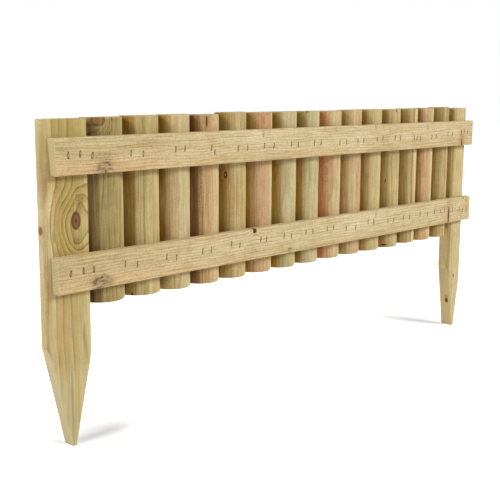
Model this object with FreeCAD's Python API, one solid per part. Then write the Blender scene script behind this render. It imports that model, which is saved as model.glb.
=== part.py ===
"""Half-round log border fence panel: two pointed posts, two front rails and a row of split logs.

Frame: X runs along the panel, from the left post to the right post as seen from the rails' side.
Y runs from the rails to the back of the logs, Z is up. The origin is the centre of the left
post's blunt tip. All sizes are in millimetres.
"""
import FreeCAD
import Part

import math
import os

# Posts: sawn stakes with rounded front edges, pointed by a long cut on each side.
# Both posts have their fronts in one plane, and the right one is narrower and thicker.
LEFT_POST_WIDTH = 75.5
LEFT_POST_THICKNESS = 20.0
LEFT_POST_LENGTH = 471.0
LEFT_POINT_LENGTH = 150.0
RIGHT_POST_WIDTH = 52.0
RIGHT_POST_THICKNESS = 25.5
RIGHT_POST_LENGTH = 482.5
RIGHT_POINT_LENGTH = 138.0
RIGHT_POST_TOP_RISE = 2.0
POST_EDGE_RADIUS = 9.0
TIP_WIDTH = 5.5
WORN_CORNER_RADIUS = 3.0

# Rails: sawn boards along the front, over both posts and every log.
# The left ends are cut a little out of square, so that the bottom edge is the shorter one.
RAIL_WIDTH = 52.0
RAIL_THICKNESS = 15.0
RAIL_EDGE_RADIUS = 1.5
UPPER_RAIL_TOP_DROP = 25.0
RAIL_SPACING = 164.5
UPPER_RAIL_LEFT_INSET = 6.0
UPPER_RAIL_END_SLANT = 4.0
UPPER_RAIL_OVERHANG = 0.0
LOWER_RAIL_LEFT_INSET = 6.5
LOWER_RAIL_END_SLANT = 2.0
LOWER_RAIL_OVERHANG = 1.5

# Logs: round poles split lengthwise, the round side against the rails.
# Each log departs a little from the main diameter and length, and rises a little over the
# left post's top. The lists run from the left post to the right post.
LOG_DIAMETER = 64.0
LOG_DIAMETER_CHANGES = [7.5, 5.0, -2.0, 1.0, -1.0, 1.0, -0.5, -1.5, 1.0, -2.0, 2.0, -1.0, -3.0, -6.0, -3.0]
LOG_LENGTH = 274.0
LOG_LENGTH_CHANGES = [-4.0, -2.5, -1.0, -1.5, 1.0, -0.5, 0.0, 0.0, -1.0, 0.5, 1.5, 2.0, 1.0, 2.5, 3.5]
LOG_TOP_RISES = [0.5, 1.5, 2.0, 1.0, 3.5, 2.5, 2.5, 2.5, 2.0, 3.0, 3.0, 2.5, 3.0, 3.5, 4.5]
SAW_KERF = 3.0
LOG_END_CHAMFER = 1.2
LOG_SEAT_GAP = 0.3
LOG_SIDE_GAP = 0.5
LEFT_POST_GAP = 7.0

# Places that follow from the sizes above.
FRONT_Y = -LEFT_POST_THICKNESS / 2
UPPER_RAIL_BOTTOM = LEFT_POST_LENGTH - UPPER_RAIL_TOP_DROP - RAIL_WIDTH
LOWER_RAIL_BOTTOM = UPPER_RAIL_BOTTOM - RAIL_SPACING
LOG_ROW_START = LEFT_POST_WIDTH / 2 + LEFT_POST_GAP
LOG_ROW_LENGTH = sum(LOG_DIAMETER + change + LOG_SIDE_GAP for change in LOG_DIAMETER_CHANGES)
RIGHT_POST_CENTRE = LOG_ROW_START + LOG_ROW_LENGTH + RIGHT_POST_WIDTH / 2
RIGHT_POST_TIP_Z = LEFT_POST_LENGTH + RIGHT_POST_TOP_RISE - RIGHT_POST_LENGTH


def upright_bar(width, thickness, length):
    """A post blank along Z, centred on X, with its two front edges rounded."""
    half = width / 2
    back = FRONT_Y + thickness
    shoulder = POST_EDGE_RADIUS * (1 - math.sqrt(0.5))
    back_left = FreeCAD.Vector(-half, back, 0)
    side_left = FreeCAD.Vector(-half, FRONT_Y + POST_EDGE_RADIUS, 0)
    shoulder_left = FreeCAD.Vector(-half + shoulder, FRONT_Y + shoulder, 0)
    front_left = FreeCAD.Vector(-half + POST_EDGE_RADIUS, FRONT_Y, 0)
    front_right = FreeCAD.Vector(half - POST_EDGE_RADIUS, FRONT_Y, 0)
    shoulder_right = FreeCAD.Vector(half - shoulder, FRONT_Y + shoulder, 0)
    side_right = FreeCAD.Vector(half, FRONT_Y + POST_EDGE_RADIUS, 0)
    back_right = FreeCAD.Vector(half, back, 0)
    section = Part.Wire([
        Part.LineSegment(back_left, side_left).toShape(),
        Part.Arc(side_left, shoulder_left, front_left).toShape(),
        Part.LineSegment(front_left, front_right).toShape(),
        Part.Arc(front_right, shoulder_right, side_right).toShape(),
        Part.LineSegment(side_right, back_right).toShape(),
        Part.LineSegment(back_right, back_left).toShape(),
    ])
    return Part.Face(section).extrude(FreeCAD.Vector(0, 0, length))


def pointed_plate(width, thickness, length, point_length):
    """The stake's front outline as a plate three times as deep as the blank that it trims."""
    half = width / 2
    tip = TIP_WIDTH / 2
    plate_front = FRONT_Y - thickness
    outline = Part.makePolygon([
        FreeCAD.Vector(-tip, plate_front, 0),
        FreeCAD.Vector(tip, plate_front, 0),
        FreeCAD.Vector(half, plate_front, point_length),
        FreeCAD.Vector(half, plate_front, length),
        FreeCAD.Vector(-half, plate_front, length),
        FreeCAD.Vector(-half, plate_front, point_length),
        FreeCAD.Vector(-tip, plate_front, 0),
    ])
    return Part.Face(outline).extrude(FreeCAD.Vector(0, 3 * thickness, 0))


def stake(width, thickness, length, point_length):
    """A post centred on X, with its blunt tip at z = 0."""
    blank = upright_bar(width, thickness, length)
    return blank.common(pointed_plate(width, thickness, length, point_length))


def worn_outer_corner(post):
    """The left post's outer top corner, rounded along Y as the photographed one is."""
    box = post.BoundBox
    corner = FreeCAD.Vector(box.XMin, box.YMax, box.ZMax)
    reach = WORN_CORNER_RADIUS
    square = Part.makeBox(reach, box.YLength, reach, corner - FreeCAD.Vector(0, box.YLength, reach))
    round_axis = corner + FreeCAD.Vector(reach, -box.YLength, -reach)
    rounding = Part.makeCylinder(reach, box.YLength, round_axis, FreeCAD.Vector(0, 1, 0))
    return post.cut(square.cut(rounding))


def rail(bottom_z, left_inset, end_slant, overhang):
    """A front board with its four long edges eased, its back on the posts' fronts."""
    start = -LEFT_POST_WIDTH / 2 + left_inset
    end = RIGHT_POST_CENTRE + RIGHT_POST_WIDTH / 2 + overhang
    front = FRONT_Y - RAIL_THICKNESS
    outline = Part.makePolygon([
        FreeCAD.Vector(start + end_slant, front, bottom_z),
        FreeCAD.Vector(end, front, bottom_z),
        FreeCAD.Vector(end, front, bottom_z + RAIL_WIDTH),
        FreeCAD.Vector(start, front, bottom_z + RAIL_WIDTH),
        FreeCAD.Vector(start + end_slant, front, bottom_z),
    ])
    board = Part.Face(outline).extrude(FreeCAD.Vector(0, RAIL_THICKNESS, 0))
    long_edges = [edge for edge in board.Edges if edge.BoundBox.XLength > RAIL_WIDTH]
    return board.makeFillet(RAIL_EDGE_RADIUS, long_edges)


def half_log(diameter, length):
    """A split pole along Z from z = 0, centred on X, its crest just behind the rails' backs."""
    radius = diameter / 2
    depth = radius - SAW_KERF / 2
    half = math.sqrt(radius ** 2 - (radius - depth) ** 2)
    crest_y = FRONT_Y + LOG_SEAT_GAP
    left = FreeCAD.Vector(-half, crest_y + depth, 0)
    crest = FreeCAD.Vector(0, crest_y, 0)
    right = FreeCAD.Vector(half, crest_y + depth, 0)
    section = Part.Wire([
        Part.Arc(left, crest, right).toShape(),
        Part.LineSegment(right, left).toShape(),
    ])
    log = Part.Face(section).extrude(FreeCAD.Vector(0, 0, length))
    end_edges = [edge for edge in log.Edges if edge.BoundBox.ZLength < LOG_END_CHAMFER]
    return log.makeChamfer(LOG_END_CHAMFER, end_edges)


def log_row():
    """The row of logs between the posts, each beside the one before it."""
    row = []
    left_x = LOG_ROW_START
    for wider, longer, rise in zip(LOG_DIAMETER_CHANGES, LOG_LENGTH_CHANGES, LOG_TOP_RISES):
        diameter = LOG_DIAMETER + wider
        length = LOG_LENGTH + longer
        log = half_log(diameter, length)
        log.translate(FreeCAD.Vector(left_x + diameter / 2, 0, LEFT_POST_LENGTH + rise - length))
        row.append(log)
        left_x += diameter + LOG_SIDE_GAP
    return row


def build():
    """Every piece of the panel by its node name."""
    left_post = stake(LEFT_POST_WIDTH, LEFT_POST_THICKNESS, LEFT_POST_LENGTH, LEFT_POINT_LENGTH)
    right_post = stake(RIGHT_POST_WIDTH, RIGHT_POST_THICKNESS, RIGHT_POST_LENGTH, RIGHT_POINT_LENGTH)
    right_post.translate(FreeCAD.Vector(RIGHT_POST_CENTRE, 0, RIGHT_POST_TIP_Z))
    pieces = {
        "left_post": worn_outer_corner(left_post),
        "right_post": right_post,
        "upper_rail": rail(
            UPPER_RAIL_BOTTOM, UPPER_RAIL_LEFT_INSET, UPPER_RAIL_END_SLANT, UPPER_RAIL_OVERHANG),
        "lower_rail": rail(
            LOWER_RAIL_BOTTOM, LOWER_RAIL_LEFT_INSET, LOWER_RAIL_END_SLANT, LOWER_RAIL_OVERHANG),
    }
    for number, log in enumerate(log_row(), start=1):
        pieces[f"log_{number:02d}"] = log
    return pieces


os.makedirs("parts", exist_ok=True)
for name, shape in build().items():
    shape.exportStep(f"parts/{name}.step")
    box = shape.BoundBox
    print(f"{name}: x {box.XMin:.1f} to {box.XMax:.1f}, y {box.YMin:.1f} to {box.YMax:.1f}, "
          f"z {box.ZMin:.1f} to {box.ZMax:.1f}, {shape.Volume / 1000:.0f} cm3")
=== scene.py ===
# %% [markdown]
# # Half-round log border fence panel
# A low garden fence. Fifteen split logs stand side by side between two pointed posts, and two
# sawn rails run across the front, held by wire staples. The solids come from the CAD model, and
# nothing here moves or reshapes them. This file gives them their timber, adds the staples, and
# sets a plain studio round them.

import math
import random

import bpy
from mathutils import Matrix, Vector


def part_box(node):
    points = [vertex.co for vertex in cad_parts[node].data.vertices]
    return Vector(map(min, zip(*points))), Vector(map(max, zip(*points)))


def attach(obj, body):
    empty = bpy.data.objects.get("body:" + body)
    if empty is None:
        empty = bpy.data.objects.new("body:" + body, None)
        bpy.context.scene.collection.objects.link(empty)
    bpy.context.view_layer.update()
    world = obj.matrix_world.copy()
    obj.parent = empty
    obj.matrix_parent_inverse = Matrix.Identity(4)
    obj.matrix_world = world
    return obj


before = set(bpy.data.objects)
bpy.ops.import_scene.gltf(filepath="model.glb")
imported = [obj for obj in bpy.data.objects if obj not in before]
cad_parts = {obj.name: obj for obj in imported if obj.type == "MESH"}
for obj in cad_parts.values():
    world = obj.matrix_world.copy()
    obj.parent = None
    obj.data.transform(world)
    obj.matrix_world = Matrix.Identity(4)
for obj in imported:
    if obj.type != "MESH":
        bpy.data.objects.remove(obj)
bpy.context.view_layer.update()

# %% [markdown]
# ## Camera
# A camera is an object whose matrix says where it stands and which way its three axes point. It
# could be aimed by eye, but then the far post would fall some pixels beside its place. So its
# place, angles and lens were worked out from the corners of the posts and rails in the
# photograph, and the matrix is built from them. It looks along the panel from the left end, a
# little from above.

# %% Camera
IMAGE_SIZE = 500
FOCAL_PIXELS = 933.15
SENSOR_WIDTH = 36.0
CAMERA_PLACE = (-0.76681, -1.07393, 0.51456)
YAW = 0.81818
PITCH = 0.17260
ROLL = 0.00606

camera_data = bpy.data.cameras.new("camera")
camera_data.sensor_width = SENSOR_WIDTH
camera_data.lens = FOCAL_PIXELS * SENSOR_WIDTH / IMAGE_SIZE
camera = bpy.data.objects.new("camera", camera_data)
bpy.context.scene.collection.objects.link(camera)
forward = Vector((
    math.sin(YAW) * math.cos(PITCH), math.cos(YAW) * math.cos(PITCH), -math.sin(PITCH)))
level_right = Vector((math.cos(YAW), -math.sin(YAW), 0.0))
level_up = level_right.cross(forward)
right = math.cos(ROLL) * level_right + math.sin(ROLL) * level_up
up = math.cos(ROLL) * level_up - math.sin(ROLL) * level_right
turn = Matrix((right, up, -forward)).transposed()
camera.matrix_world = Matrix.Translation(CAMERA_PLACE) @ turn.to_4x4()
bpy.context.scene.camera = camera
print("lens", round(camera_data.lens, 2), "mm")

# %% [markdown]
# ## Node trees
# A material is a tree of nodes. By hand they are added and wired in the Shader Editor, and in a
# script each one takes several lines. This small class adds a node, sets it and wires it in one
# call, so that a recipe further down reads from top to bottom.

# %% A helper for node trees
class Tree:
    """Adds nodes to one node tree and links or sets whatever feeds them."""

    def __init__(self, tree):
        self.nodes = tree.nodes
        self.links = tree.links

    def add(self, kind, feeds=(), **settings):
        node = self.nodes.new(kind)
        for name, value in settings.items():
            setattr(node, name, value)
        for name, value in dict(feeds).items():
            self.feed(node.inputs[name], value)
        return node

    def feed(self, socket, value):
        if isinstance(value, bpy.types.NodeSocket):
            self.links.new(value, socket)
        else:
            socket.default_value = value

    def math(self, operation, a, b=0.0, c=0.0):
        return self.add("ShaderNodeMath", {0: a, 1: b, 2: c}, operation=operation).outputs[0]

    def times(self, a, b):
        return self.math("MULTIPLY", a, b)

    def about_zero(self, noise):
        """A noise from 0 to 1 as one that swings to both sides of 0."""
        return self.math("SUBTRACT", noise, 0.5)

    def vector(self, operation, a, b=(0.0, 0.0, 0.0)):
        return self.add("ShaderNodeVectorMath", {0: a, 1: b}, operation=operation).outputs

    def split(self, vector):
        return self.add("ShaderNodeSeparateXYZ", {"Vector": vector}).outputs

    def smooth(self, value, low, high, to_low=0.0, to_high=1.0):
        feeds = {
            "Value": value, "From Min": low, "From Max": high, "To Min": to_low, "To Max": to_high}
        node = self.add("ShaderNodeMapRange", feeds, interpolation_type="SMOOTHSTEP")
        return node.outputs["Result"]

    def mix(self, factor, a, b, blend="MIX"):
        node = self.add("ShaderNodeMix", data_type="RGBA", blend_type=blend, clamp_factor=True)
        self.feed(node.inputs[0], factor)
        self.feed(node.inputs[6], a)
        self.feed(node.inputs[7], b)
        return node.outputs[2]

    def noise(self, vector, scale, detail=2.0, roughness=0.5):
        feeds = {"Vector": vector, "Scale": scale, "Detail": detail, "Roughness": roughness}
        return self.add("ShaderNodeTexNoise", feeds).outputs["Fac"]

    def stretch(self, vector, scale, place=(0.0, 0.0, 0.0), turned=(0.0, 0.0, 0.0)):
        feeds = {"Vector": vector, "Location": place, "Rotation": turned, "Scale": scale}
        return self.add("ShaderNodeMapping", feeds).outputs[0]

    def streaks(self, vector, scale, detail=2.0, roughness=0.5):
        """Noise with a scale of its own along each axis."""
        return self.noise(self.stretch(vector, scale), 1.0, detail, roughness)

    def seen(self):
        """1 for a ray of the camera, of gloss or of glass, and 0 for one that only brings light."""
        ray = self.add("ShaderNodeLightPath").outputs
        seen = self.math("MAXIMUM", ray["Is Camera Ray"], ray["Is Glossy Ray"])
        return self.math("MAXIMUM", seen, ray["Is Transmission Ray"])


print("tree helper:", [name for name in vars(Tree) if not name.startswith("_")])

# %% [markdown]
# ## World
# The white walls of a studio light the panel evenly from all sides. As much light as makes a wall
# look white would wash the timber out. So the world has two strengths: 1 where it is seen, and a
# weak one for the light that it gives.

# %% World
AMBIENT = 0.245
WHITE = (1.0, 1.0, 1.0, 1.0)

world = bpy.data.worlds.new("studio")
bpy.context.scene.world = world
world.use_nodes = True
world.node_tree.nodes.clear()
sky = Tree(world.node_tree)
strength = sky.smooth(sky.seen(), 0.0, 1.0, AMBIENT, 1.0)
backdrop = sky.add("ShaderNodeBackground", {"Color": WHITE, "Strength": strength})
sky.add("ShaderNodeOutputWorld", {"Surface": backdrop.outputs[0]})
print("ambient", AMBIENT)

# %% [markdown]
# ## Floor
# The panel stands on its two tips. The right tip reaches 9.5 mm lower, so the floor is turned
# until it touches both. Lamps strong enough to make the floor white would burn the timber out,
# so the floor glows by itself where it is seen. Round the two tips the glow is weaker, in two
# soft ellipses, and there the lamps still draw the shadows that the tips cast.

# %% Floor
TIP_DISTANCE = 1.03575
TIP_DROP = 0.0095
FLOOR_SIZE = 30.0
FLOOR_TILT = math.atan2(TIP_DROP, TIP_DISTANCE)

bpy.ops.object.select_all(action="DESELECT")
bpy.ops.mesh.primitive_plane_add(size=FLOOR_SIZE, location=(0.0, 0.0, 0.0))
floor = bpy.context.object
floor.name = "floor"
floor.rotation_euler = (0.0, FLOOR_TILT, 0.0)
bpy.ops.object.transform_apply(location=True, rotation=True, scale=True)
print("floor turned", round(math.degrees(FLOOR_TILT), 2), "degrees")


# %% Floor paint
def new_material(name):
    """An empty material and the helper for its tree."""
    material = bpy.data.materials.new(name)
    material.use_nodes = True
    material.node_tree.nodes.clear()
    return material, Tree(material.node_tree)


FLOOR_GREY = (0.90, 0.90, 0.90, 1.0)
# Where each tip's shadow lies, how far it reaches along X and Y in metres, and the glow there.
TIP_SHADOWS = [
    ((0.055, 0.012), (0.155, 0.112), 0.04),
    ((1.03, 0.06), (0.14, 0.26), 0.32)]
# The share of its reach within which the glow is at its weakest.
FULL_SHADOW = 0.12

floor_paint, paint = new_material("floor_paint")
spot = paint.add("ShaderNodeTexCoord").outputs["Object"]
glow = 1.0
for (shadow_x, shadow_y), (reach_x, reach_y), dim in TIP_SHADOWS:
    centre = (-shadow_x / reach_x, -shadow_y / reach_y, 0.0)
    near = paint.stretch(spot, (1 / reach_x, 1 / reach_y, 0.0), centre)
    away = paint.vector("LENGTH", near)["Value"]
    glow = paint.math("SUBTRACT", glow, paint.smooth(away, FULL_SHADOW, 1.0, 1.0 - dim, 0.0))
matt = paint.add("ShaderNodeBsdfDiffuse", {"Color": FLOOR_GREY})
seen_glow = paint.times(paint.seen(), glow)
shining = paint.add("ShaderNodeEmission", {"Color": WHITE, "Strength": seen_glow})
both = paint.add("ShaderNodeAddShader", {0: matt.outputs[0], 1: shining.outputs[0]})
paint.add("ShaderNodeOutputMaterial", {"Surface": both.outputs[0]})
floor.data.materials.append(floor_paint)
print("shadows kept at", [centre for centre, _, _ in TIP_SHADOWS])

# %% [markdown]
# ## Lamps
# A large lamp throws a soft shadow, and a small one a harder shadow. The large one in front, high
# up at the right, gives most of the light. A weak one behind reaches the backs of the logs. A
# small one at the left end lights the outer side of the left post and the ends of the rails,
# which the front lamp leaves in the shade.

# %% Lamps
PANEL_MIDDLE = (0.5, 0.0, 0.25)
PANEL_LEFT_END = (-0.03, 0.0, 0.25)


def soft_lamp(name, place, target, size, power):
    """A square area lamp that points at its target. Sizes are in metres, the power in watts."""
    data = bpy.data.lights.new(name, "AREA")
    data.shape = "SQUARE"
    data.size = size
    data.energy = power
    lamp = bpy.data.objects.new(name, data)
    lamp.location = place
    lamp.rotation_euler = (Vector(target) - Vector(place)).to_track_quat("-Z", "Y").to_euler()
    bpy.context.scene.collection.objects.link(lamp)


soft_lamp("front_lamp", (3.3, -6.2, 4.0), PANEL_MIDDLE, size=2.2, power=438.0)
soft_lamp("back_lamp", (-0.8, 4.5, 2.6), PANEL_MIDDLE, size=2.5, power=62.0)
soft_lamp("left_lamp", (-1.5, -0.12, 1.25), PANEL_LEFT_END, size=0.5, power=18.7)

# %% [markdown]
# ## Grain
# Timber is a stack of growth rings round the pith, the centre of the stem. A ring starts pale and
# ends in a dark line. Rings cut by a flat face make lines and arches, and rings that a log's skin
# meets almost flat make long flames. Painted pictures of grain would have to be fitted to every
# face. Here the rings are worked out in space instead, from how far a point is from the pith, so
# one recipe serves posts, rails and logs, and it runs on round every edge. It works in
# millimetres, with the pith along Z. Noise makes the rings wander, and noise that is stretched
# along the grain gives fibres, veins, streaks and patches.

# %% A helper for node groups
VECTOR = "NodeSocketVector"
FLOAT = "NodeSocketFloat"


def new_group(name, takes, gives):
    """A node group with named sockets, the helper for its tree, and its two ends."""
    group = bpy.data.node_groups.new(name, "ShaderNodeTree")
    for label, kind, value in takes:
        socket = group.interface.new_socket(name=label, in_out="INPUT", socket_type=kind)
        if value is not None:
            socket.default_value = value
    for label in gives:
        group.interface.new_socket(name=label, in_out="OUTPUT", socket_type=FLOAT)
    tree = Tree(group)
    inside = tree.add("NodeGroupInput").outputs
    result = tree.add("NodeGroupOutput").inputs
    return group, tree, inside, result


print("sockets are", VECTOR, "and", FLOAT)

# %% Grain group: how far a point is from the pith
# How fast the noises change across and along the grain, per millimetre.
DRIFT = (0.004, 0.004, 0.006)
RIPPLE = (0.05, 0.05, 0.009)
RIPPLE_SHARE = 0.6

grain_group, tree, inside, result = new_group(
    "softwood_grain",
    [("Vector", VECTOR, None), ("Ring Width", FLOAT, 3.0), ("Wander", FLOAT, 4.0),
     ("Pull", FLOAT, 0.0)],
    ["Rings", "Line", "Fibre", "Vein", "Streak", "Patch"])
at = tree.split(inside["Vector"])
drifting = tree.stretch(inside["Vector"], DRIFT)
drift = tree.add("ShaderNodeTexNoise", {"Vector": drifting, "Scale": 1.0, "Detail": 1.0})
drift = tree.add("ShaderNodeSeparateColor", {"Color": drift.outputs["Color"]}).outputs
across = tree.math("MULTIPLY_ADD", tree.about_zero(drift[0]), inside["Wander"], at[0])
depth = tree.math("MULTIPLY_ADD", tree.about_zero(drift[1]), inside["Wander"], at[1])
squares = tree.math("ADD", tree.times(across, across), tree.times(depth, depth))
radius = tree.math("SQRT", squares)
ripple = tree.about_zero(tree.streaks(inside["Vector"], RIPPLE))
ripple_reach = tree.times(inside["Wander"], RIPPLE_SHARE)
radius = tree.math("MULTIPLY_ADD", ripple, ripple_reach, radius)
radius = tree.math("ADD", radius, inside["Pull"])
print("group", grain_group.name)

# %% Grain group: rings and their dark lines
# How far through a ring its line begins, is full, and begins to fade.
LINE_BEGINS = 0.66
LINE_FULL = 0.86
LINE_FADES = 0.92
# How late in the ring the wood darkens: 1 is evenly, and more is later.
DARKENING = 1.6
# Noise that breaks the lines off in places.
BREAKS = (0.09, 0.09, 0.012)

phase = tree.math("FRACT", tree.math("DIVIDE", radius, inside["Ring Width"]))
close = tree.smooth(phase, LINE_FADES, 1.0, 1.0, 0.0)
tree.feed(result["Rings"], tree.times(tree.math("POWER", phase, DARKENING), close))
broken = tree.smooth(tree.streaks(inside["Vector"], BREAKS), 0.32, 0.58)
line = tree.times(tree.smooth(phase, LINE_BEGINS, LINE_FULL), close)
tree.feed(result["Line"], tree.times(line, broken))
print("a line fills", round(1.0 - LINE_BEGINS, 2), "of its ring")

# %% Grain group: what runs along the grain
# The scale across, through and along the grain per millimetre, the detail, and the roughness.
ALONG_THE_GRAIN = {
    "Fibre": ((1.3, 1.3, 0.03), 3.0, 0.6),
    "Vein": ((0.42, 0.42, 0.012), 2.0, 0.6),
    "Streak": ((0.16, 0.16, 0.0035), 3.0, 0.6),
    "Patch": ((0.03, 0.03, 0.008), 2.0, 0.5),
}
for name, (scale, detail, roughness) in ALONG_THE_GRAIN.items():
    tree.feed(result[name], tree.streaks(inside["Vector"], scale, detail, roughness))
print("along the grain:", list(ALONG_THE_GRAIN))

# %% [markdown]
# ## Knots
# A knot is a branch that the stem grew round: a dark core with an eye, a thin bark rim, and rings
# that flow round it. It could be cut as its own disc, but the rings have to bend with it. So this
# group only measures how far a point is from the knot, in knot sizes, and puts out a mask for
# each part of it. Swirl also pulls the rings aside. Flecks break a spot up into short dashes,
# for the smudges that mould leaves on a board.

# %% Knot group: distance and soft masks
# How fast the two soft masks fall off with the square of the distance.
SWIRL_FALL = -0.16
HALO_FALL = -0.55

knot_group, tree, inside, result = new_group(
    "knot",
    [("Vector", VECTOR, None), ("Centre", VECTOR, None), ("Size", VECTOR, (5.0, 5.0, 5.0))],
    ["Core", "Rim", "Eye", "Swirl", "Halo", "Flecks"])
way = tree.vector("SUBTRACT", inside["Vector"], inside["Centre"])[0]
way = tree.vector("DIVIDE", way, inside["Size"])[0]
far = tree.vector("LENGTH", way)["Value"]
far_squared = tree.times(far, far)
tree.feed(result["Swirl"], tree.math("EXPONENT", tree.times(far_squared, SWIRL_FALL)))
halo = tree.math("EXPONENT", tree.times(far_squared, HALO_FALL))
tree.feed(result["Halo"], halo)
print("group", knot_group.name)

# %% Knot group: core, rim, eye and flecks
# Noise that frays a knot's outline, how far it does, and noise that breaks a smudge into dashes.
# The other numbers are distances from the centre, where 1 is the knot's own size.
RAGGED = (0.35, 0.35, 0.25)
RAGGED_REACH = 0.28
DASHES = (0.16, 0.34, 0.34)

ragged = tree.about_zero(tree.streaks(inside["Vector"], RAGGED))
far = tree.math("MULTIPLY_ADD", ragged, RAGGED_REACH, far)
tree.feed(result["Core"], tree.smooth(far, 0.7, 1.05, 1.0, 0.0))
from_rim = tree.math("ABSOLUTE", tree.math("SUBTRACT", far, 1.0))
tree.feed(result["Rim"], tree.smooth(from_rim, 0.04, 0.36, 1.0, 0.0))
tree.feed(result["Eye"], tree.smooth(far, 0.16, 0.36, 1.0, 0.0))
dashes = tree.smooth(tree.streaks(inside["Vector"], DASHES, 3.0, 0.6), 0.36, 0.70)
tree.feed(result["Flecks"], tree.times(tree.smooth(halo, 0.22, 0.75), dashes))
print("masks", [socket.name for socket in result if socket.name])

# %% [markdown]
# ## Eased edges and their painted highlight
# Handling and planing leave an edge rounder and paler than the faces beside it, and a rounded
# edge catches the light. So the pale colour laid on the edges is both worn wood and a painted
# highlight. Painting every edge by hand would take long. A Bevel node feels for nearby edges
# instead: where its normal leaves the face's own normal, there is an edge.

# %% Edge group
edge_wear_and_highlight_group, tree, inside, result = new_group("eased_edge_and_highlight", [("Reach", FLOAT, 0.002)], ["Edge"])
eased = tree.add("ShaderNodeBevel", {"Radius": inside["Reach"]}, samples=4).outputs[0]
flat = tree.add("ShaderNodeNewGeometry").outputs["True Normal"]
agree = tree.vector("DOT_PRODUCT", eased, flat)["Value"]
tree.feed(result["Edge"], tree.smooth(agree, 0.80, 0.985, 1.0, 0.0))
print("group", edge_wear_and_highlight_group.name)

# %% [markdown]
# ## Tones
# All the pieces are pressure-treated pine. It runs from straw to olive green, with amber and rose
# where the heartwood took up less. Each tone is named once, as it looks on a screen, and made
# linear for the shader. What darkens the wood, such as late growth and pores, is laid by
# multiplying, so that it keeps the tone under it.

# %% Tones
def linear(red, green, blue):
    """A screen colour from 0 to 255 as the linear colour that a shader takes."""
    def one(value):
        value = value / 255
        return value / 12.92 if value <= 0.04045 else ((value + 0.055) / 1.055) ** 2.4
    return (one(red), one(green), one(blue), 1.0)


# Pale and middle tones of sound wood.
BLEACHED = linear(238, 226, 194)
CREAM = linear(229, 215, 170)
PINE = linear(216, 202, 161)
STRAW = linear(209, 193, 142)
BUFF = linear(210, 189, 143)
KHAKI = linear(196, 179, 127)
DUN = linear(192, 176, 132)
DRAB = linear(164, 148, 97)
GOLD = linear(184, 167, 105)
# Green tones of the treatment.
CELERY = linear(208, 202, 158)
SAGE = linear(204, 194, 151)
MOSS = linear(179, 164, 114)
OLIVE = linear(182, 163, 105)
FERN = linear(162, 156, 92)
MOULD = linear(128, 122, 72)
# Pink, amber and brown tones of heartwood, resin and knots.
PINK = linear(226, 190, 150)
BLUSH = linear(206, 173, 134)
ROSE = linear(206, 166, 123)
AMBER = linear(196, 155, 91)
HONEY = linear(185, 149, 74)
RUST = linear(189, 132, 85)
COCOA = linear(156, 118, 76)
UMBER = linear(124, 94, 56)
# These two darker browns also paint the shade in the valley at each log's left side.
VALLEY_SHADE_AND_TANGLE_BROWN = linear(159, 126, 54)
DARK_VALLEY_SHADE_AND_MOTTLE = linear(104, 78, 38)
SMUDGE = linear(92, 74, 56)
KNOT_RED = linear(118, 74, 44)
RIM = linear(62, 26, 2)
BARK = linear(40, 16, 2)
# Saw cuts and end grain.
# The fresh cut's cream, which also paints light on the right post's shaded left side and cut.
FRESH_CUT_AND_PAINTED_LIGHT = linear(239, 214, 153)
SAWN = linear(207, 194, 157)
END_GRAIN = linear(193, 177, 132)
# What late growth, and pores and dirt, leave of the colour under them.
LATEWOOD = (0.54, 0.40, 0.22, 1.0)
PORE = (0.75, 0.64, 0.50, 1.0)
print("late growth leaves", LATEWOOD[:3], "of red, green and blue")

# %% [markdown]
# ## Kinds of mark
# A knot, a smudge and a wide tint differ only in which masks of the knot group they use, and in
# which tones. So each kind is a short list of layers, and a piece then only says where a mark of
# that kind lies. Grey, calm and bleach are wide veils that change a whole stretch of a post.

# %% Kinds of mark
# For each kind: the mask, how strongly it is laid from 0 to 1, and the tone. A bend lays nothing,
# and only its pull on the rings shows.
MARKS = {
    "sound knot": [
        ("Halo", 0.42, BLUSH), ("Core", 0.92, KNOT_RED), ("Rim", 0.80, RIM), ("Eye", 0.70, BARK)],
    "soft knot": [("Swirl", 0.30, AMBER), ("Core", 0.82, KNOT_RED), ("Rim", 0.40, UMBER)],
    "branch knot": [("Halo", 0.55, AMBER), ("Core", 0.62, KNOT_RED), ("Rim", 0.62, RIM)],
    "eyed knot": [("Halo", 0.30, RUST), ("Core", 0.88, RIM), ("Eye", 0.85, RUST)],
    "dead knot": [("Halo", 0.55, RUST), ("Core", 0.92, BARK)],
    "ring knot": [("Swirl", 0.30, RUST), ("Rim", 0.62, COCOA), ("Eye", 0.4, COCOA)],
    "faint knot": [("Core", 0.35, RUST), ("Rim", 0.45, UMBER)],
    "tangle": [("Halo", 0.60, VALLEY_SHADE_AND_TANGLE_BROWN), ("Flecks", 0.90, UMBER)],
    "bend": [],
    "check": [("Core", 0.85, BARK)],
    "split": [("Swirl", 0.45, COCOA), ("Core", 0.85, BARK)],
    "smudge": [("Halo", 0.30, SMUDGE), ("Flecks", 1.0, SMUDGE)],
    "haze": [("Flecks", 0.50, SMUDGE)],
    "mottle": [("Flecks", 0.40, DARK_VALLEY_SHADE_AND_MOTTLE)],
    "stain": [("Core", 0.45, COCOA)],
    "resin": [("Core", 0.50, RUST)],
    "honey": [("Core", 0.60, HONEY)],
    "moss": [("Core", 0.50, MOULD)],
    "green": [("Swirl", 0.36, FERN)],
    "blush": [("Swirl", 0.45, PINK)],
    "pale": [("Swirl", 0.48, BLEACHED)],
    # A pale strip of painted light on a side in shade, not a cut.
    "painted light strip": [("Core", 0.75, FRESH_CUT_AND_PAINTED_LIGHT)],
    "grey": [("Core", 0.32, DUN)],
    "calm": [("Core", 0.34, GOLD)],
    "bleach": [("Core", 0.32, SAGE)],
}
print(len(MARKS), "kinds of mark")

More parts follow.
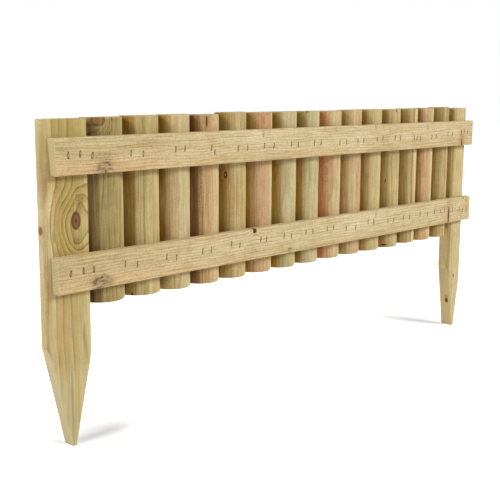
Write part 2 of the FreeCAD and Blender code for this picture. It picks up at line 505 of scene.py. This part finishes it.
# %% [markdown]
# ## Timber
# A piece's look is built from the bottom up: its run of tones, which on a log holds painted
# shade and highlight, the soft tints round its marks, the grain's rings and fibres, dirt, a post's
# cut point, the ends, worn edges with a painted highlight, and last the cores of knots and the
# veils. Every step takes the colour so far and gives it back with one thing more, so each step is
# a small function, and one function calls them all. The dirt is fine dust in the pores and wide
# soft clouds, and without it a board looks printed.

# %% Tones and marks
# Masks that tint the wood under its grain, and those that cover the grain.
UNDER_GRAIN = ("Swirl", "Halo")
OVER_GRAIN = ("Core", "Rim", "Eye", "Flecks")


def run_of_tones(tree, factor, tones):
    """The tones in turn, as the factor runs from 0 to 1."""
    ramp = tree.add("ShaderNodeValToRGB", {"Fac": factor})
    while len(ramp.color_ramp.elements) < len(tones):
        ramp.color_ramp.elements.new(0.5)
    for stop, (position, colour) in zip(ramp.color_ramp.elements, tones):
        stop.position = position
        stop.color = colour
    return ramp.outputs["Color"]


def place_marks(tree, place, marks):
    """A knot group for each mark, with its layers, and the pull of them all on the rings."""
    pull = 0.0
    placed = []
    for centre, size, kind, strength in marks:
        feeds = {"Vector": place, "Centre": centre, "Size": size}
        masks = tree.add("ShaderNodeGroup", feeds, node_tree=knot_group).outputs
        placed.append((masks, MARKS[kind]))
        if strength:
            pull = tree.math("MULTIPLY_ADD", masks["Swirl"], strength, pull)
    return placed, pull


def lay_marks(tree, colour, placed, wanted):
    """Lays the layers whose masks are wanted."""
    for masks, layers in placed:
        for mask, amount, tone in layers:
            if mask in wanted:
                colour = tree.mix(tree.times(masks[mask], amount), colour, tone)
    return colour


print("under the grain", UNDER_GRAIN, "and over it", OVER_GRAIN)

# %% Grain and dirt
# How strongly each is laid, from 0 to 1.
PATCH_TINT = 0.40
STREAK_TINT = 0.38
VEIN_DARK = 0.58
FIBRE_DARK = 0.52
CLOUD_DARK = 0.24
# How fine dust and clouds are, per millimetre.
DUST = 0.38
CLOUD = 0.045


def lay_grain(tree, colour, grain, depth, streaks):
    """Tinted patches and streaks, rings with their lines, then veins and fibres."""
    patch_tone, streak_tone = streaks
    patches = tree.smooth(grain["Patch"], 0.50, 0.68, 0.0, PATCH_TINT)
    colour = tree.mix(patches, colour, patch_tone)
    long_streaks = tree.smooth(grain["Streak"], 0.55, 0.70, 0.0, STREAK_TINT)
    colour = tree.mix(long_streaks, colour, streak_tone)
    colour = tree.mix(tree.times(grain["Rings"], depth[0]), colour, LATEWOOD, "MULTIPLY")
    colour = tree.mix(tree.times(grain["Line"], depth[1]), colour, LATEWOOD, "MULTIPLY")
    veins = tree.smooth(grain["Vein"], 0.44, 0.68, 0.0, VEIN_DARK)
    colour = tree.mix(veins, colour, PORE, "MULTIPLY")
    fibres = tree.smooth(grain["Fibre"], 0.32, 0.60, FIBRE_DARK, 0.0)
    return tree.mix(fibres, colour, PORE, "MULTIPLY")


def lay_dirt(tree, colour, place, dusty):
    """Fine dust in the pores, then wide soft clouds."""
    dust = tree.smooth(tree.noise(place, DUST, 3.0, 0.7), 0.46, 0.66, 0.0, dusty)
    colour = tree.mix(dust, colour, PORE, "MULTIPLY")
    cloud = tree.smooth(tree.noise(place, CLOUD, 3.0, 0.6), 0.46, 0.64, 0.0, CLOUD_DARK)
    return tree.mix(cloud, colour, PORE, "MULTIPLY")


print("dust repeats about every", round(1 / DUST, 1), "mm, clouds every", round(1 / CLOUD), "mm")

# %% [markdown]
# A saw leaves three kinds of face here. A log was split from a round pole, so its back is flat
# and even in tone, with fine lines across it and a little bark at both edges, darkened also as
# painted shade of the seam between two logs. The two long cuts of a post's point are paler than
# its weathered sides, and face a little downwards. The ends show the rings cut across, open and
# dry. All three are found by which way a face looks, so no face has to be picked by hand.

# %% Sawn faces
# How strongly each is laid, from 0 to 1, and how close and how far out of square the saw's marks
# are: per millimetre along each axis, and in radians.
SPLIT_TINT = 0.85
WANE_AND_SEAM_SHADE = 0.60
SAW_MARK_DARK = 0.10
SAW_MARKS = (0.03, 0.03, 0.45)
SAW_LEAN = 0.30
POINT_TINT = 0.62
END_TINT = 0.88
END_RING_DARK = 0.35
END_PORE_DARK = 0.5


def split_back(tree, colour, place, normal, part, tone):
    """A split log's flat back, bark and painted seam shade at its edges, and the saw marks' height.
    """
    behind = tree.smooth(normal[1], 0.70, 0.95)
    colour = tree.mix(tree.times(behind, SPLIT_TINT), colour, tone)
    # Both side edges of the back are darker: bark, and painted shade of the seam between logs.
    from_middle = tree.math("ABSOLUTE", tree.about_zero(part))
    wane_and_seam_shade = tree.smooth(from_middle, 0.455, 0.50, 0.0, WANE_AND_SEAM_SHADE)
    colour = tree.mix(tree.times(wane_and_seam_shade, behind), colour, UMBER)
    saw = tree.noise(tree.stretch(place, SAW_MARKS, turned=(0.0, SAW_LEAN, 0.0)), 1.0, 1.0)
    saw = tree.times(tree.smooth(saw, 0.48, 0.66), behind)
    return tree.mix(tree.times(saw, SAW_MARK_DARK), colour, PORE, "MULTIPLY"), saw


def end_grain(tree, colour, place, grain, facing):
    """The open ends of the grain, on faces that look along it, where facing is close to 1."""
    end = tree.times(grain["Rings"], END_RING_DARK)
    end = tree.mix(end, END_GRAIN, LATEWOOD, "MULTIPLY")
    pores = tree.smooth(tree.noise(place, 0.9, 2.0), 0.56, 0.70, 0.0, END_PORE_DARK)
    end = tree.mix(pores, end, PORE, "MULTIPLY")
    return tree.mix(tree.smooth(facing, 0.55, 0.85, 0.0, END_TINT), colour, end)


print("saw marks about every", round(1 / SAW_MARKS[2], 1), "mm")

# %% Timber material
# How far streaks move the tones sideways, as a share of the piece's width.
TONE_SHIFT = 0.28
# How far from an edge it is worn and painted with a highlight, in metres, and how strongly.
EDGE_REACH = 0.0016
EDGE_WEAR_AND_HIGHLIGHT = 0.42
# Bare wood has little gloss, and its fibres stand up less than half a millimetre.
GLOSS = 0.18
RELIEF = 0.0004


def timber(name, pith, along, tones, across, ring_width, wander, depth, streaks, marks,
           sawn=None, split=None, dusty=0.40):
    """A timber material. Lengths and places are in millimetres.
    pith: where the rings' centre lies.          along: the axis of the grain, X or Z.
    tones: (place, colour) from 0 to 1 across.   across: (axis, low, high).
    depth: how dark rings and their lines are.   streaks: the tones of patches and of streaks.
    marks: (centre, size, kind, pull).           dusty: how strong the dust is.
    sawn, split: the tone of a point's cuts and of a log's back, on the pieces that have them."""
    material, tree = new_material(name)
    where = tree.add("ShaderNodeTexCoord").outputs
    normal = tree.split(where["Normal"])
    place = tree.stretch(where["Object"], (1000.0, 1000.0, 1000.0))
    unscaled = (1.0, 1.0, 1.0)
    if along == "X":
        laid = tree.stretch(place, unscaled, (pith[2], -pith[1], 0.0), (0.0, -math.pi / 2, 0.0))
    else:
        laid = tree.stretch(place, unscaled, (-pith[0], -pith[1], pith[2]))
    placed, pull = place_marks(tree, place, marks)
    feeds = {"Vector": laid, "Ring Width": ring_width, "Wander": wander, "Pull": pull}
    grain = tree.add("ShaderNodeGroup", feeds, node_tree=grain_group).outputs

    axis, low, high = across
    part = tree.math("DIVIDE", tree.math("SUBTRACT", tree.split(place)[axis], low), high - low)
    shifted = tree.math("MULTIPLY_ADD", tree.about_zero(grain["Streak"]), TONE_SHIFT, part)
    colour = run_of_tones(tree, shifted, tones)
    saw = 0.0
    if split:
        colour, saw = split_back(tree, colour, place, normal, part, split)
    colour = lay_marks(tree, colour, placed, UNDER_GRAIN)
    colour = lay_grain(tree, colour, grain, depth, streaks)
    colour = lay_dirt(tree, colour, place, dusty)
    if sawn:
        colour = tree.mix(tree.smooth(normal[2], -0.16, -0.10, POINT_TINT, 0.0), colour, sawn)
    facing = tree.math("ABSOLUTE", normal["XYZ".index(along)])
    colour = end_grain(tree, colour, place, grain, facing)
    # Edges are laid paler in cream: worn wood and a painted highlight.
    edge = tree.add("ShaderNodeGroup", {"Reach": EDGE_REACH}, node_tree=edge_wear_and_highlight_group).outputs
    colour = tree.mix(tree.times(edge["Edge"], EDGE_WEAR_AND_HIGHLIGHT), colour, CREAM)
    colour = lay_marks(tree, colour, placed, OVER_GRAIN)

    rough = tree.smooth(grain["Fibre"], 0.2, 0.8, 0.86, 0.70)
    height = tree.math("MULTIPLY_ADD", grain["Line"], -0.6, grain["Fibre"])
    height = tree.math("MULTIPLY_ADD", saw, -0.8, height)
    bump = tree.add("ShaderNodeBump", {"Strength": 0.4, "Distance": RELIEF, "Height": height})
    feeds = {"Base Color": colour, "Roughness": rough, "Normal": bump.outputs[0]}
    skin = tree.add("ShaderNodeBsdfPrincipled", feeds)
    skin.inputs["Specular IOR Level"].default_value = GLOSS
    tree.add("ShaderNodeOutputMaterial", {"Surface": skin.outputs[0]})
    return material


def dress(node, material):
    """Gives a CAD node its material in every slot."""
    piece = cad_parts[node]
    if not piece.data.materials:
        piece.data.materials.append(material)
    for slot in piece.material_slots:
        slot.material = material
    print(node, "wears", material.name, "of", len(material.node_tree.nodes), "nodes")


# %% [markdown]
# ## Posts
# The posts are sawn stakes. The left one was cut with the rings nearly flat to its face, so they
# make wide arches, and one big knot bends them into closed rings. Its pith lies behind the face.
# Each mark is placed where the photograph shows it, and three wide veils over the grain make the
# post greyer low down and calmer at the top. The right post has straighter grain and two small
# knots. The points' long cuts are fresher and paler than the sides. The right post's cut is made
# paler still, and a pale strip runs down its left side below the logs: both are painted light
# where that side lies in shade.

# %% Left post
left_low, left_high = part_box("left_post")
dress("left_post", timber(
    "left_post_wood", pith=(24.0, 26.0, 130.0), along="Z",
    across=(0, left_low.x * 1000, left_high.x * 1000),
    tones=[(0.0, PINE), (0.12, STRAW), (0.28, OLIVE), (0.50, GOLD), (0.75, GOLD), (0.92, STRAW),
           (1.0, SAGE)],
    ring_width=8.6, wander=10.0, depth=(0.70, 0.50), streaks=(STRAW, HONEY), sawn=SAWN,
    marks=[((0.0, -10.0, 50.0), (90.0, 90.0, 215.0), "grey", 0.0),
           ((0.0, -10.0, 470.0), (90.0, 90.0, 75.0), "calm", 0.0),
           ((0.0, -10.0, 0.0), (90.0, 90.0, 130.0), "bleach", 0.0),
           ((14.0, -10.0, 325.0), (15.0, 80.0, 14.0), "bend", -30.0),
           ((12.0, -10.0, 328.8), (6.8, 60.0, 10.8), "sound knot", 5.0),
           ((11.1, -10.0, 300.0), (4.5, 30.0, 4.5), "tangle", -7.0),
           ((-37.8, 4.0, 317.8), (2.2, 5.0, 6.0), "soft knot", 0.0),
           ((20.0, -10.0, 358.0), (5.0, 30.0, 5.5), "tangle", -8.0),
           ((-6.0, -10.0, 382.0), (9.0, 60.0, 12.0), "bend", 8.0),
           ((-17.0, -10.0, 322.0), (3.5, 20.0, 38.0), "honey", 0.0),
           ((-26.0, -10.0, 311.0), (3.0, 20.0, 11.0), "moss", 0.0),
           ((-30.0, -10.0, 313.6), (6.0, 30.0, 9.0), "green", 0.0),
           ((-2.0, -10.0, 60.0), (2.6, 14.0, 70.0), "moss", 0.0),
           ((9.0, -10.0, 60.0), (2.4, 14.0, 60.0), "honey", 0.0),
           ((-31.0, -8.0, 415.0), (1.4, 8.0, 50.0), "honey", 0.0),
           ((-25.0, -10.0, 395.0), (1.5, 8.0, 60.0), "honey", 0.0),
           ((-18.5, -10.0, 165.0), (2.0, 8.0, 75.0), "honey", 0.0),
           ((-12.5, -10.0, 155.0), (1.6, 8.0, 58.0), "honey", 0.0)]))

# %% Right post
right_low, right_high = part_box("right_post")
dress("right_post", timber(
    "right_post_wood", pith=(1000.0, 30.0, 40.0), along="Z",
    across=(0, right_low.x * 1000, right_high.x * 1000),
    tones=[(0.0, OLIVE), (0.22, STRAW), (0.55, PINE), (1.0, STRAW)],
    # The cut is laid paler still, as painted light where it lies in shade.
    ring_width=5.0, wander=12.0, depth=(0.20, 0.36), streaks=(STRAW, BUFF), sawn=FRESH_CUT_AND_PAINTED_LIGHT,
    marks=[((1023.3, -1.0, 48.0), (3.2, 3.4, 5.2), "sound knot", 6.0),
           ((1021.8, -1.0, 58.0), (4.0, 6.0, 5.0), "resin", 0.0),
           # A pale strip down the left side below the logs, painted light on that shaded side.
           ((1009.7, 6.0, 165.0), (3.0, 16.0, 60.0), "painted light strip", 0.0),
           ((1032.7, -10.0, 103.6), (2.4, 6.0, 4.0), "soft knot", 3.0)]))

# %% [markdown]
# ## Rails
# The rails are cut with the rings on edge, so the grain runs as fine lines from end to end. With
# the pith some 50 mm outside the board, the same rings do that by themselves. The marks are where
# the photograph shows them: smudges near the left ends, a knot that a saw cut at the lower
# rail's top edge, and a split knot near each right end. A rough sawn board holds more dust than
# a smooth round log.

# %% Upper rail
def rail_wood(node, name, pith, marks):
    """The rails' straight-grained timber, with the grain along X."""
    low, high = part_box(node)
    dress(node, timber(
        name, pith=pith, along="X", across=(2, low.z * 1000, high.z * 1000),
        tones=[(0.0, BUFF), (0.3, PINE), (0.6, PINE), (1.0, PINE)],
        ring_width=4.4, wander=15.0, depth=(0.24, 0.36), streaks=(BUFF, CREAM), marks=marks,
        dusty=0.62))


rail_wood("upper_rail", "upper_rail_wood", (0.0, 5.0, 345.0), [
    ((0.0, -25.0, 402.0), (80.0, 40.0, 14.0), "blush", 0.0),
    ((-20.0, -25.0, 436.0), (80.0, 40.0, 12.0), "green", 0.0),
    ((51.4, -25.0, 402.0), (13.5, 12.0, 9.5), "smudge", 0.0),
    ((54.0, -25.0, 417.0), (15.0, 12.0, 6.0), "haze", 0.0),
    ((368.0, -25.0, 436.0), (8.0, 12.0, 9.0), "pale", 5.0),
    ((384.0, -25.0, 439.0), (4.0, 12.0, 8.0), "stain", 0.0),
    ((655.0, -25.0, 412.0), (12.0, 12.0, 10.0), "pale", 0.0),
    ((701.8, -25.0, 441.6), (4.0, 8.0, 5.0), "stain", 4.0),
    ((1017.5, -25.0, 400.0), (4.0, 10.0, 10.0), "split", 0.0),
    ((1015.0, -25.0, 412.0), (6.0, 10.0, 20.0), "resin", 0.0),
    ((882.9, -25.0, 436.9), (3.5, 8.0, 4.5), "faint knot", 3.0)])

# %% Lower rail
rail_wood("lower_rail", "lower_rail_wood", (0.0, 8.0, 335.0), [
    ((0.0, -25.0, 236.0), (80.0, 40.0, 14.0), "blush", 0.0),
    ((-20.0, -25.0, 268.0), (80.0, 40.0, 10.0), "green", 0.0),
    ((43.5, -25.0, 238.5), (15.0, 12.0, 9.5), "smudge", 0.0),
    ((455.7, -25.0, 235.5), (5.0, 12.0, 3.5), "smudge", 3.0),
    ((640.0, -25.0, 262.0), (30.0, 12.0, 8.0), "pale", 0.0),
    ((360.6, -25.0, 244.4), (8.0, 12.0, 3.5), "haze", 0.0),
    ((364.7, -25.0, 278.6), (5.0, 9.0, 5.6), "dead knot", 7.0),
    ((710.0, -25.0, 274.0), (4.0, 8.0, 5.5), "stain", 4.0),
    ((976.2, -25.0, 248.5), (6.0, 10.0, 24.0), "resin", 0.0),
    ((976.6, -25.0, 246.5), (3.0, 10.0, 19.0), "split", 0.0),
    ((1028.4, -25.0, 243.0), (2.6, 10.0, 12.0), "stain", 0.0),
    ((1047.2, -25.0, 273.3), (6.0, 8.0, 6.0), "resin", 2.0),
    ((1036.2, -25.0, 278.6), (2.0, 8.0, 2.2), "check", 0.0)])

# %% [markdown]
# ## Logs
# Each log is a different stem. One material for all would show the same rings fifteen times, so
# each gets its own run of tones from its left side to its right, and its own tints for patches
# and streaks. Its pith, ring width and the tone of its back are drawn by chance from a fixed
# seed, so they are the same in every run. The left side of a log lies in the valley beside its
# neighbour, and its darker golden brown tones there are painted shade of that valley, over a
# little of the treatment's stain. The pale last tones at a log's right side are a painted
# highlight, where the front lamp's light falls.

# %% Each log's tones
# The place across a log, from 0 at its left side to 1 at its right, and the tone there. The dark
# first tones are painted valley shade and the pale last ones a painted highlight. On log 1 the
# tones lighten and then darken again across the middle: painted light and shade that soften
# the edge of a lamp's shadow from the left post.
LOG_TONES_WITH_PAINTED_LIGHT = {
    1: [(0.07, DARK_VALLEY_SHADE_AND_MOTTLE), (0.24, MOSS), (0.38, DRAB), (0.66, MOSS), (0.86, SAGE)],
    2: [(0.08, VALLEY_SHADE_AND_TANGLE_BROWN), (0.24, STRAW), (0.29, MOSS), (0.34, FERN), (0.42, STRAW), (0.55, KHAKI),
        (0.85, STRAW)],
    3: [(0.04, VALLEY_SHADE_AND_TANGLE_BROWN), (0.22, BUFF), (0.34, BUFF), (0.44, SAGE), (0.66, SAGE), (0.85, PINE)],
    4: [(0.03, DARK_VALLEY_SHADE_AND_MOTTLE), (0.14, COCOA), (0.25, BUFF), (0.34, ROSE), (0.41, BLUSH), (0.50, BUFF),
        (0.85, PINE)],
    5: [(0.06, VALLEY_SHADE_AND_TANGLE_BROWN), (0.33, BUFF), (0.50, KHAKI), (0.68, KHAKI), (0.80, PINE), (0.90, CREAM)],
    6: [(0.04, VALLEY_SHADE_AND_TANGLE_BROWN), (0.26, BLUSH), (0.55, BLUSH), (0.66, BUFF), (0.74, CREAM)],
    7: [(0.08, VALLEY_SHADE_AND_TANGLE_BROWN), (0.27, SAGE), (0.54, SAGE), (0.68, CELERY), (0.80, CREAM)],
    8: [(0.08, VALLEY_SHADE_AND_TANGLE_BROWN), (0.25, SAGE), (0.36, CELERY), (0.54, SAGE), (0.66, PINE), (0.82, CREAM)],
    9: [(0.10, RUST), (0.22, ROSE), (0.38, PINE), (0.6, STRAW), (0.80, CREAM)],
    10: [(0.03, VALLEY_SHADE_AND_TANGLE_BROWN), (0.22, BUFF), (0.34, PINE), (0.6, BLUSH), (0.80, PINK)],
    11: [(0.05, VALLEY_SHADE_AND_TANGLE_BROWN), (0.28, STRAW), (0.55, STRAW), (0.85, PINE)],
    12: [(0.04, VALLEY_SHADE_AND_TANGLE_BROWN), (0.31, STRAW), (0.55, STRAW), (0.85, STRAW)],
    13: [(0.05, VALLEY_SHADE_AND_TANGLE_BROWN), (0.27, MOSS), (0.36, STRAW), (0.44, COCOA), (0.52, CREAM), (0.64, STRAW),
         (0.85, STRAW)],
    14: [(0.10, VALLEY_SHADE_AND_TANGLE_BROWN), (0.22, PINK), (0.34, BLUSH), (0.48, BUFF), (0.60, PINE), (0.70, CREAM)],
    15: [(0.07, VALLEY_SHADE_AND_TANGLE_BROWN), (0.26, MOSS), (0.42, STRAW), (0.52, OLIVE), (0.62, BUFF), (0.74, CREAM)],
}
# The tones of each log's patches and of its long streaks.
LOG_STREAKS = {
    1: (OLIVE, SAGE), 2: (FERN, OLIVE), 3: (SAGE, AMBER), 4: (COCOA, AMBER), 5: (OLIVE, FERN),
    6: (RUST, AMBER), 7: (FERN, MOSS), 8: (FERN, CELERY), 9: (RUST, BUFF), 10: (BLUSH, AMBER),
    11: (OLIVE, FERN), 12: (FERN, OLIVE), 13: (FERN, STRAW), 14: (BLUSH, COCOA), 15: (COCOA, OLIVE),
}
print("tones for", len(LOG_TONES_WITH_PAINTED_LIGHT), "logs")

# %% Each log's marks
LOG_MARKS = {
    1: [((59.5, -3.0, 467.5), (8.5, 10.0, 7.5), "branch knot", 10.0),
        ((79.0, -9.7, 468.5), (0.8, 5.0, 4.5), "check", 0.0)],
    2: [((123.3, 4.6, 203.4), (2.0, 3.0, 3.0), "check", 0.0)],
    4: [((270.0, -7.7, 460.7), (1.6, 3.0, 11.0), "check", 2.0),
        ((250.0, -2.0, 340.0), (13.0, 16.0, 110.0), "mottle", 0.0)],
    5: [((321.7, 1.5, 372.6), (3.4, 4.0, 6.8), "eyed knot", 6.0)],
    6: [((402.0, -8.5, 461.0), (3.5, 6.0, 8.0), "stain", 4.0)],
    8: [((521.7, -4.8, 472.6), (2.0, 3.0, 1.6), "check", 0.0)],
    9: [((579.7, 0.0, 364.0), (5.0, 5.5, 7.0), "ring knot", 5.0)],
    10: [((637.6, 10.9, 351.9), (2.0, 4.0, 4.0), "check", 0.0)],
    12: [((773.6, 0.0, 332.4), (1.0, 3.0, 4.6), "check", 2.0),
         ((775.0, 0.0, 203.0), (9.0, 5.0, 2.2), "dead knot", 4.0),
         ((790.7, -9.2, 470.6), (1.8, 3.0, 3.0), "check", 0.0)],
    14: [((907.9, -7.6, 457.6), (2.2, 4.0, 3.5), "faint knot", 1.5)],
}
# How dark the rings and their lines are: on a plain log, and on those with bolder grain.
PLAIN_DEPTH = (0.20, 0.18)
LOG_DEPTH = {1: (0.28, 0.42), 12: (0.26, 0.30)}
print("marks on logs", list(LOG_MARKS))

# %% Dress the logs
LOG_COUNT = 15
BACK_TONES = (STRAW, BUFF, SAGE)

chance = random.Random(7)
for number in range(1, LOG_COUNT + 1):
    node = f"log_{number:02d}"
    low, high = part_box(node)
    middle = (low.x + high.x) / 2 * 1000
    side = chance.choice((-1, 1)) * chance.uniform(5.0, 13.0)
    before_back = chance.uniform(0.0, 8.0)
    pith = (middle + side, high.y * 1000 - before_back, chance.uniform(0.0, 900.0))
    ring_width = chance.uniform(2.8, 3.8)
    dress(node, timber(
        f"{node}_wood", pith=pith, along="Z", across=(0, low.x * 1000, high.x * 1000),
        tones=LOG_TONES_WITH_PAINTED_LIGHT[number], ring_width=ring_width, wander=8.0,
        depth=LOG_DEPTH.get(number, PLAIN_DEPTH), streaks=LOG_STREAKS[number],
        marks=LOG_MARKS.get(number, []), split=chance.choice(BACK_TONES)))

# %% [markdown]
# ## Staples
# Wire staples hold the rails. Each is a crown about 9 mm long that was driven until it pressed an
# oval dent in the wood. Their places are read from the photograph. One staple could be a curve
# with a round bevel, but a curve has to become a mesh in the end. So a small ring of wire is
# extruded and spun round its two bends, and the finished staple is copied to every place, each
# copy turned a little, as a hand-held gun leaves them.

# %% Where the staples are
# Along the panel and up from the left post's tip, in millimetres.
UPPER_STAPLES = [
    (-9, 422), (11, 423), (32, 420), (101, 420), (124, 418), (188, 422), (207, 422), (264, 421),
    (271, 414), (324, 417), (346, 417), (387, 419), (411, 418), (456, 419), (474, 418), (518, 419),
    (537, 418), (591, 416), (611, 417), (646, 417), (664, 418), (707, 418), (726, 420), (767, 419),
    (785, 418), (834, 417), (845, 416), (857, 415), (899, 416), (915, 417), (961, 420), (978, 419),
    (1015, 423), (1027, 424), (1040, 423)]
LOWER_STAPLES = [
    (-10, 258), (12, 259), (30, 259), (87, 259), (110, 256), (168, 259), (188, 256), (244, 259),
    (263, 258), (309, 263), (329, 258), (380, 262), (394, 261), (440, 262), (459, 259), (499, 261),
    (518, 261), (559, 261), (578, 262), (616, 256), (646, 254), (685, 262), (703, 260), (751, 257),
    (771, 256), (805, 258), (827, 256), (866, 259), (894, 257), (920, 258), (944, 258), (960, 258),
    (992, 257), (1020, 256), (1034, 252), (1049, 252)]
rail_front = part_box("upper_rail")[0].y
print("staples", len(UPPER_STAPLES), "and", len(LOWER_STAPLES))


# %% Wire and dent finishes
def dull_wire():
    """Galvanised wire that has dulled to a brownish grey."""
    material, tree = new_material("dull_wire")
    dirt = tree.noise(tree.add("ShaderNodeTexCoord").outputs["Object"], 900.0, 2.0)
    colour = tree.mix(tree.smooth(dirt, 0.35, 0.65), linear(178, 160, 126), linear(100, 78, 50))
    rough = tree.smooth(dirt, 0.3, 0.7, 0.38, 0.62)
    feeds = {"Base Color": colour, "Metallic": 0.6, "Roughness": rough}
    skin = tree.add("ShaderNodeBsdfPrincipled", feeds)
    tree.add("ShaderNodeOutputMaterial", {"Surface": skin.outputs[0]})
    return material


def pressed_wood(name, light, dark):
    """Crushed, darkened wood in a staple's dent; on the rim, also painted shade."""
    material, tree = new_material(name)
    blot = tree.noise(tree.add("ShaderNodeTexCoord").outputs["Object"], 500.0, 3.0)
    colour = tree.mix(tree.smooth(blot, 0.35, 0.65), light, dark)
    rough = tree.smooth(blot, 0.2, 0.8, 0.95, 0.8)
    skin = tree.add("ShaderNodeBsdfPrincipled", {"Base Color": colour, "Roughness": rough})
    tree.add("ShaderNodeOutputMaterial", {"Surface": skin.outputs[0]})
    return material


wire_finish = dull_wire()
# The rim's dark brown is pressed wood and painted shade of the hollow's wall.
dent_rim_shade = pressed_wood("dent_rim_shade", linear(84, 60, 36), linear(54, 36, 20))
dent_floor = pressed_wood("dent_floor", linear(176, 148, 104), linear(136, 106, 68))
print("finishes", wire_finish.name, dent_rim_shade.name, dent_floor.name)

# %% One staple
# In metres: the crown's length, the wire's radius, the bends' radius and the legs' length.
CROWN = 0.0085
WIRE = 0.00062
BEND = 0.0011
LEG = 0.0018
WIRE_SIDES = 8
BEND_STEPS = 4
MERGE = 0.00001


def pull_out(x, y, z):
    """Extrudes what is selected by this much."""
    bpy.ops.mesh.extrude_region_move(TRANSFORM_OT_translate={"value": (x, y, z)})


def bend_wire(centre):
    """Spins the selected end of the wire through a quarter turn."""
    bpy.ops.mesh.spin(steps=BEND_STEPS, angle=math.pi / 2, center=centre, axis=(-1.0, 0.0, 0.0))


def make_staple():
    """A staple's wire with its crown along Z, in front of the plane y = 0."""
    bpy.ops.object.select_all(action="DESELECT")
    foot = -CROWN / 2
    bpy.ops.mesh.primitive_circle_add(
        vertices=WIRE_SIDES, radius=WIRE, location=(0.0, LEG, foot),
        rotation=(math.pi / 2, 0.0, 0.0))
    wire = bpy.context.object
    bpy.ops.object.transform_apply(location=True, rotation=True, scale=True)
    bpy.ops.object.mode_set(mode="EDIT")
    bpy.ops.mesh.select_all(action="SELECT")
    pull_out(0.0, -LEG, 0.0)
    bend_wire((0.0, 0.0, foot + BEND))
    pull_out(0.0, 0.0, CROWN - 2 * BEND)
    bend_wire((0.0, 0.0, -foot - BEND))
    pull_out(0.0, LEG, 0.0)
    bpy.ops.mesh.select_all(action="SELECT")
    bpy.ops.mesh.remove_doubles(threshold=MERGE)
    bpy.ops.mesh.normals_make_consistent(inside=False)
    bpy.ops.object.mode_set(mode="OBJECT")
    bpy.ops.object.shade_smooth()
    wire.data.materials.append(wire_finish)
    return wire


staple_pattern = make_staple()
print("staple", len(staple_pattern.data.polygons), "faces")

# %% [markdown]
# The dent is a low dished disc with a dark rim. It is drawn 1 m wide and scaled down to its oval
# when it is copied, so the widths of its rim are shares of the whole. A real hollow would have to
# be cut into the rail's solid. A disc that stands a tenth of a millimetre proud of it looks the
# same from arm's length, and leaves the solid as it is. The rim's dark colour is pressed wood and
# painted shade, where a real hollow's wall would lie in shade.

# %% One dent
# Heights in metres, and widths as shares of the dent's own width.
DENT_SIDES = 18
RIM_HEIGHT = 0.00018
DISH_DEPTH = 0.00010
RIM_SHARE = 0.17
SLOPE_SHARE = 0.10


def make_dent():
    """The oval dent round a staple, one unit across."""
    bpy.ops.object.select_all(action="DESELECT")
    bpy.ops.mesh.primitive_circle_add(
        vertices=DENT_SIDES, radius=0.5, fill_type="NGON", rotation=(math.pi / 2, 0.0, 0.0))
    dent = bpy.context.object
    bpy.ops.object.transform_apply(location=True, rotation=True, scale=True)
    dent.data.materials.append(dent_rim_shade)
    dent.data.materials.append(dent_floor)
    dent.active_material_index = 1
    bpy.ops.object.mode_set(mode="EDIT")
    bpy.ops.mesh.select_all(action="SELECT")
    pull_out(0.0, -RIM_HEIGHT, 0.0)
    bpy.ops.mesh.inset(thickness=RIM_SHARE, depth=0.0)
    bpy.ops.object.material_slot_assign()
    bpy.ops.mesh.inset(thickness=SLOPE_SHARE, depth=0.0)
    bpy.ops.transform.translate(value=(0.0, DISH_DEPTH, 0.0))
    bpy.ops.mesh.select_all(action="SELECT")
    bpy.ops.mesh.normals_make_consistent(inside=False)
    bpy.ops.object.mode_set(mode="OBJECT")
    return dent


dent_pattern = make_dent()
print("dent", len(dent_pattern.data.polygons), "faces")

# %% Copy the staples along the rails
# How wide and tall a copy is made, how wide the deepest ones, and how far into the wood it goes.
WIRE_SIZE = {"wide": 1.0, "deep": 1.0, "tall": 1.0, "sink": -0.0002}
DENT_SIZE = {"wide": 0.0028, "deep": 0.0038, "tall": 0.0104, "sink": 0.00004}
# The first three staples of a rail, in the left post, were driven deepest.
DEEPEST = 3
LEAN = math.radians(5.0)
LEAN_SPREAD = math.radians(3.0)


def row_of(pattern, name, places, lean, size):
    """One object made of the pattern's copies, each turned a little by chance."""
    copies = []
    for count, (x, z) in enumerate(places):
        copy = pattern.copy()
        copy.data = pattern.data.copy()
        bpy.context.scene.collection.objects.link(copy)
        copy.location = (x / 1000, rail_front + size["sink"], z / 1000)
        copy.rotation_euler = (0.0, lean.gauss(LEAN, LEAN_SPREAD), 0.0)
        copy.scale = (size["deep"] if count < DEEPEST else size["wide"], 1.0, size["tall"])
        copies.append(copy)
    bpy.ops.object.select_all(action="DESELECT")
    for copy in copies:
        copy.select_set(True)
    bpy.context.view_layer.objects.active = copies[0]
    bpy.ops.object.transform_apply(location=True, rotation=True, scale=True)
    bpy.ops.object.join()
    row = bpy.context.object
    row.name = name
    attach(row, "root")
    return row


for rail_name, places, seed in (("upper", UPPER_STAPLES, 11), ("lower", LOWER_STAPLES, 23)):
    # The same seed twice, so that each dent leans as its staple does.
    wires = row_of(
        staple_pattern, f"{rail_name}_staples", places, random.Random(seed), WIRE_SIZE)
    dents = row_of(
        dent_pattern, f"{rail_name}_staple_dents", places, random.Random(seed), DENT_SIZE)
    print(wires.name, len(wires.data.polygons), "faces")
bpy.data.objects.remove(staple_pattern)
bpy.data.objects.remove(dent_pattern)

# %% [markdown]
# ## Finish
# The view transform is Standard, so a colour in a material is the colour on the screen.

# %% View
bpy.context.scene.view_settings.view_transform = "Standard"
